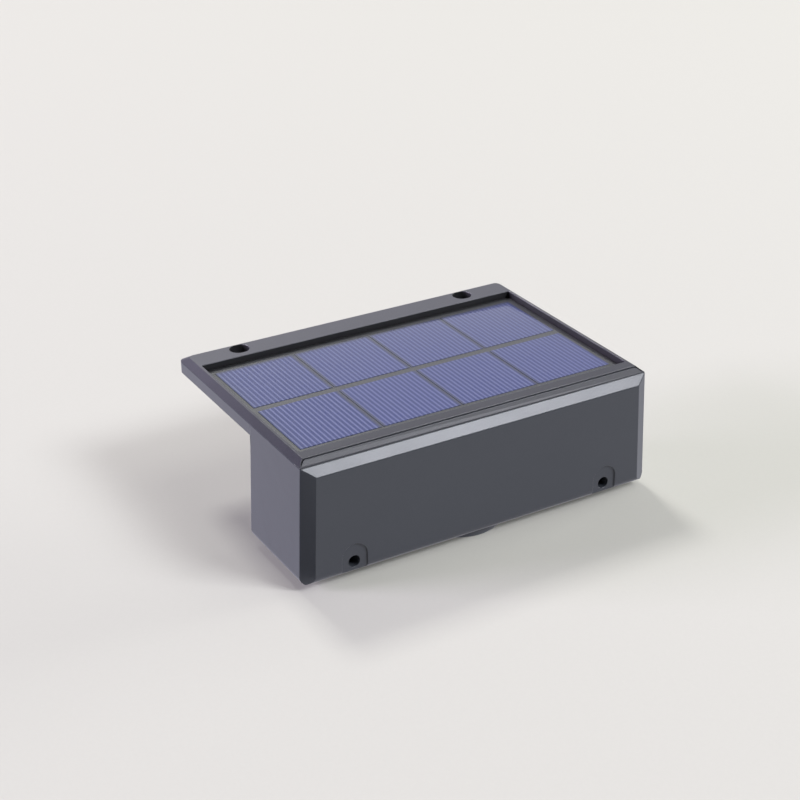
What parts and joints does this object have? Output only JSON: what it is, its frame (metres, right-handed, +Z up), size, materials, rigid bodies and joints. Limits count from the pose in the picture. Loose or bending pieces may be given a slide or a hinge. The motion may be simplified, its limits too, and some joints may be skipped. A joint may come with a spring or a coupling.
{
  "type": "solar fence light",
  "caption": "L-shaped outdoor light that sits over a fence's top corner, with a solar panel on top and a round down light under its front box.",
  "frame": {"origin": "inner corner of the L at mid length: the overhang's underside meets the box's rear face there", "axes": "+X along the light, +Y back over the fence, +Z up"},
  "size_m": [0.1536, 0.1068, 0.0518],
  "materials": {
    "shell_plastic": "fine moulded texture",
    "ring_plastic": "satin moulded",
    "button_plastic": "satin moulded",
    "panel_board": "matt solder mask",
    "solar_cell": "coated silicon",
    "clear_resin": "smooth gloss",
    "frosted_lens": "frosted",
    "foam_tape": "foam",
    "seal_rubber": "matt",
    "lamp_board": "white solder mask",
    "green_board": "solder mask",
    "lamp_chip": "phosphor and white case",
    "plated_steel": "bright plated",
    "battery_sleeve": "shrink sleeve, steel ends",
    "black_resin": "matt",
    "ferrite": "sintered",
    "capacitor_can": "satin can",
    "white_nylon": "moulded",
    "inner_plastic": "moulded",
    "lead_pvc": "PVC insulation"
  },
  "bodies": {
    "housing": {"lower_housing": "shell_plastic", "top_cover": "shell_plastic", "lens_ring": "ring_plastic", "panel_board": "panel_board", "solar_cells": "solar_cell", "panel_cover": "clear_resin", "lens": "frosted_lens", "panel_adhesive": "foam_tape", "housing_seal": "seal_rubber", "lens_gasket": "seal_rubber", "led_board": "lamp_board", "control_board": "green_board", "leds": "lamp_chip", "cover_screws": "plated_steel", "led_screws": "plated_steel", "holder_screws": "plated_steel", "battery_plus_contact": "plated_steel", "battery_minus_contact": "plated_steel", "battery_spring": "plated_steel", "battery": "battery_sleeve", "battery_holder": "inner_plastic", "charge_chip": "black_resin", "switch_body": "black_resin", "inductor": "ferrite", "capacitor": "capacitor_can", "lead_sockets": "white_nylon", "panel_leads": "lead_pvc", "battery_leads": "lead_pvc", "led_leads": "lead_pvc", "switch_leads": "lead_pvc"},
    "button": {"switch_button": "button_plastic"}
  },
  "joints": [
    {"name": "button_press", "type": "slide", "parent": "housing", "child": "button", "axis": [0, 0, 1], "range_m": [0, 0.0009], "stiffness_N_per_m": 300, "springref_m": -0.001}
  ]
}
